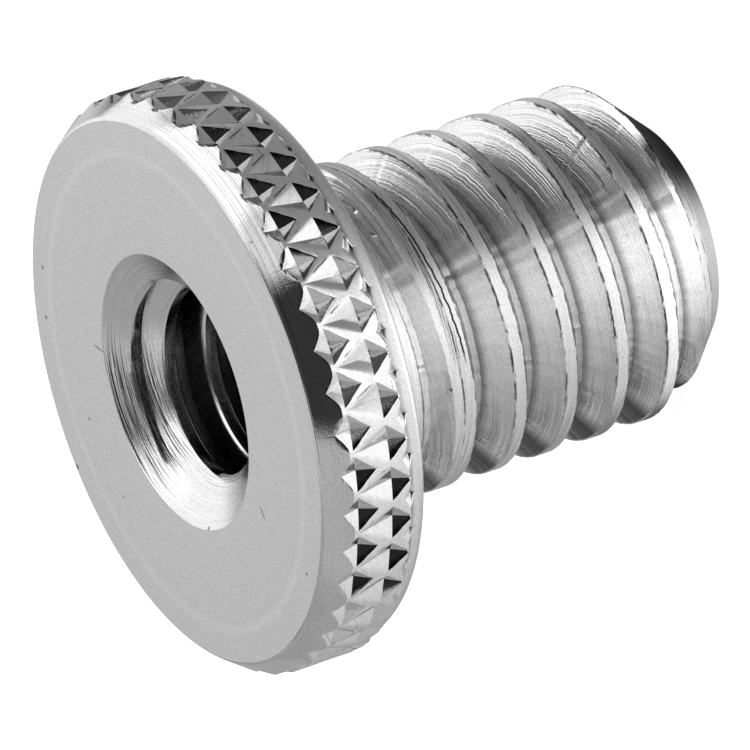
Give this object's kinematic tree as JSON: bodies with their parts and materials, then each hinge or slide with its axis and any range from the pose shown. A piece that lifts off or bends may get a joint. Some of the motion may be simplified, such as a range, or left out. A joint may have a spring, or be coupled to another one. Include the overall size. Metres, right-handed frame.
{
  "type": "thread adapter",
  "caption": "Reducer bush with a knurled round head tapped for a smaller screw and a coarse threaded shank below it.",
  "frame": {"origin": "centre of the flat end of the threaded shank, where the part stands", "axes": "+Z runs along the axis of both threads from the shank's end up to the head face; +X and +Y lie in the plane of the end face, and +X passes the thread where the upper edge of its first crest is 9.07 mm up"},
  "size_m": [0.016, 0.016, 0.015],
  "materials": {
    "steel": "turned bright steel with fine tool marks"
  },
  "bodies": {
    "root": {"adapter": "steel"}
  },
  "joints": []
}
